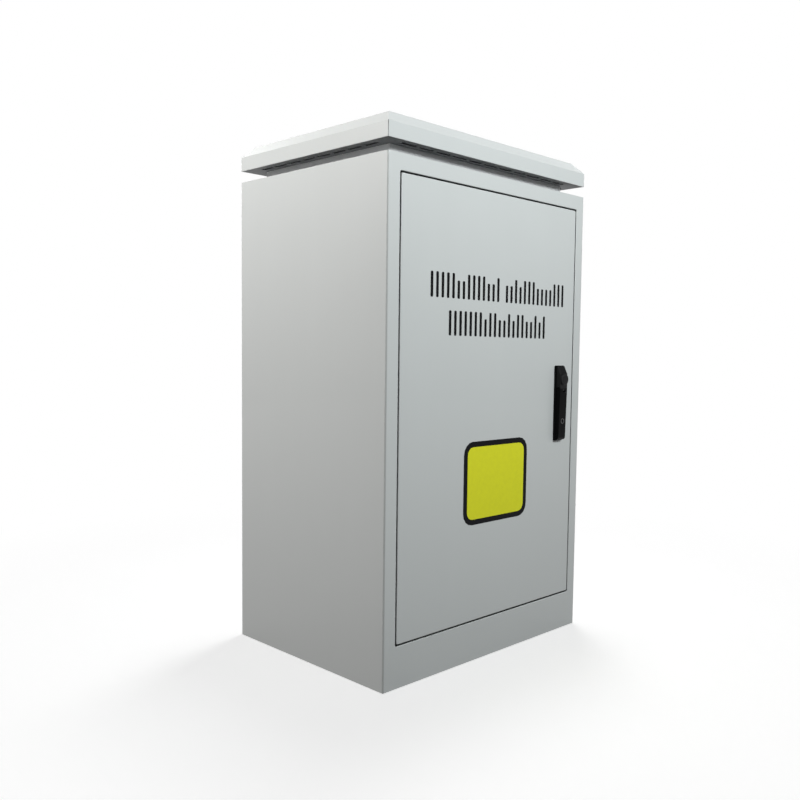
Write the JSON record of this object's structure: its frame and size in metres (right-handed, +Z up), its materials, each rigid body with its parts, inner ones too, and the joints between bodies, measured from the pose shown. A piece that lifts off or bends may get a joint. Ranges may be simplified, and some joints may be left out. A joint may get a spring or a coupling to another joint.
{
  "type": "traffic signal controller cabinet",
  "caption": "Light grey street cabinet with one flush door, a black swing handle, a raised rain canopy and a card frame with rail-mounted gear inside.",
  "frame": {"origin": "middle of the cabinet body's footprint, on the ground face", "axes": "+Z up, the door faces -Y, +X to the right as seen from in front of the door"},
  "size_m": [0.6, 0.4775, 1.0505],
  "materials": {
    "cabinet_paint": "light grey textured powder coat",
    "zinc": "bright zinc plating",
    "frame_zinc": "galvanised sheet",
    "lock_black": "black powder coat on a die casting",
    "seal": "foamed black sealing",
    "gland_grey": "grey moulded plastic",
    "device_plastic": "light grey moulded plastic",
    "dark_plastic": "black moulded plastic",
    "terminal_plastic": "grey polyamide",
    "duct_plastic": "grey rigid plastic",
    "panel_alu": "natural anodised aluminium",
    "copper_bar": "bare metal bar",
    "insulator_red": "red moulded resin",
    "lamp_lens": "opal plastic"
  },
  "bodies": {
    "cabinet": {"breaker_bodies": "device_plastic", "cabinet_shell": "cabinet_paint", "cable_ducts": "duct_plastic", "cable_glands": "gland_grey", "canopy_base": "cabinet_paint", "canopy_bolts": "zinc", "canopy_hood": "cabinet_paint", "canopy_neck": "cabinet_paint", "controller_chassis": "panel_alu", "detector_modules": "panel_alu", "din_rails": "frame_zinc", "driver_modules": "panel_alu", "duct_covers": "duct_plastic", "earth_bar": "copper_bar", "earth_bar_insulators": "insulator_red", "fan_frame": "dark_plastic", "fan_guard": "frame_zinc", "fan_screws": "zinc", "gland_plate": "frame_zinc", "gland_plate_screws": "zinc", "hinge_frame_leaves": "zinc", "hinge_pins": "zinc", "lamp_lens": "lamp_lens", "logic_modules": "panel_alu", "mounting_plate": "frame_zinc", "plate_studs": "zinc", "power_modules": "panel_alu", "rack_posts": "frame_zinc", "rack_screws": "zinc", "service_socket": "device_plastic", "surge_arrester": "device_plastic", "terminal_blocks": "terminal_plastic", "thermostat_body": "device_plastic", "work_lamp": "device_plastic"},
    "door": {"door_panel": "cabinet_paint", "door_gasket": "seal", "door_stiffeners": "cabinet_paint", "document_pocket": "cabinet_paint", "hinge_door_leaves": "zinc", "lock_base": "lock_black", "lock_gasket": "seal", "lock_clamp_nut": "zinc", "lock_screws": "zinc", "lock_gearbox": "zinc", "rod_guides": "dark_plastic"},
    "lock_rotor": {"lock_head": "lock_black", "lock_cap": "lock_black", "lock_spindle": "zinc", "spindle_clip": "zinc", "drive_pinion": "zinc", "lever_pin": "zinc"},
    "lever": {"lock_lever": "lock_black"},
    "key": {"key_cylinder": "zinc"},
    "rod_up": {"upper_rod": "zinc"},
    "rod_down": {"lower_rod": "zinc"},
    "rotor_fan": {"fan_rotor": "dark_plastic"},
    "knob": {"thermostat_knob": "dark_plastic"},
    "toggle_1": {"breaker_toggle_1": "dark_plastic"},
    "toggle_2": {"breaker_toggle_2": "dark_plastic"},
    "toggle_3": {"breaker_toggle_3": "dark_plastic"}
  },
  "joints": [
    {"name": "door_swing", "type": "hinge", "parent": "cabinet", "child": "door", "pos_m": [-0.2585, -0.223, 0.51275], "axis": [0, 0, -1], "range_deg": [0, 105]},
    {"name": "handle_swing", "type": "hinge", "parent": "door", "child": "lock_rotor", "pos_m": [0.2175, -0.235, 0.568], "axis": [0, 1, 0], "range_deg": [0, 90]},
    {"name": "lever_lift", "type": "hinge", "parent": "lock_rotor", "child": "lever", "pos_m": [0.2175, -0.24005, 0.546], "axis": [-1, 0, 0], "range_deg": [0, 30]},
    {"name": "key_turn", "type": "hinge", "parent": "lever", "child": "key", "pos_m": [0.2175, -0.24, 0.476], "axis": [0, 1, 0], "range_deg": [0, 90]},
    {"name": "upper_rod_slide", "type": "slide", "parent": "door", "child": "rod_up", "axis": [0, 0, -1], "range_m": [0, 0.0142]},
    {"name": "lower_rod_slide", "type": "slide", "parent": "door", "child": "rod_down", "axis": [0, 0, 1], "range_m": [0, 0.0142]},
    {"name": "fan_spin", "type": "hinge", "parent": "cabinet", "child": "rotor_fan", "pos_m": [0, 0.06, 0.955], "axis": [0, 0, 1], "continuous": true},
    {"name": "thermostat_turn", "type": "hinge", "parent": "cabinet", "child": "knob", "pos_m": [0.0055, 0.133, 0.345], "axis": [0, -1, 0], "range_deg": [0, 270]},
    {"name": "toggle_1_throw", "type": "hinge", "parent": "cabinet", "child": "toggle_1", "pos_m": [-0.191, 0.1415, 0.345], "axis": [1, 0, 0], "range_deg": [0, 48]},
    {"name": "toggle_2_throw", "type": "hinge", "parent": "cabinet", "child": "toggle_2", "pos_m": [-0.173, 0.1415, 0.345], "axis": [1, 0, 0], "range_deg": [0, 48]},
    {"name": "toggle_3_throw", "type": "hinge", "parent": "cabinet", "child": "toggle_3", "pos_m": [-0.155, 0.1415, 0.345], "axis": [1, 0, 0], "range_deg": [0, 48]}
  ],
  "couplings": [
    {"joint": "upper_rod_slide", "follows": "handle_swing", "m_per_rad": 0.009},
    {"joint": "lower_rod_slide", "follows": "handle_swing", "m_per_rad": 0.009}
  ]
}
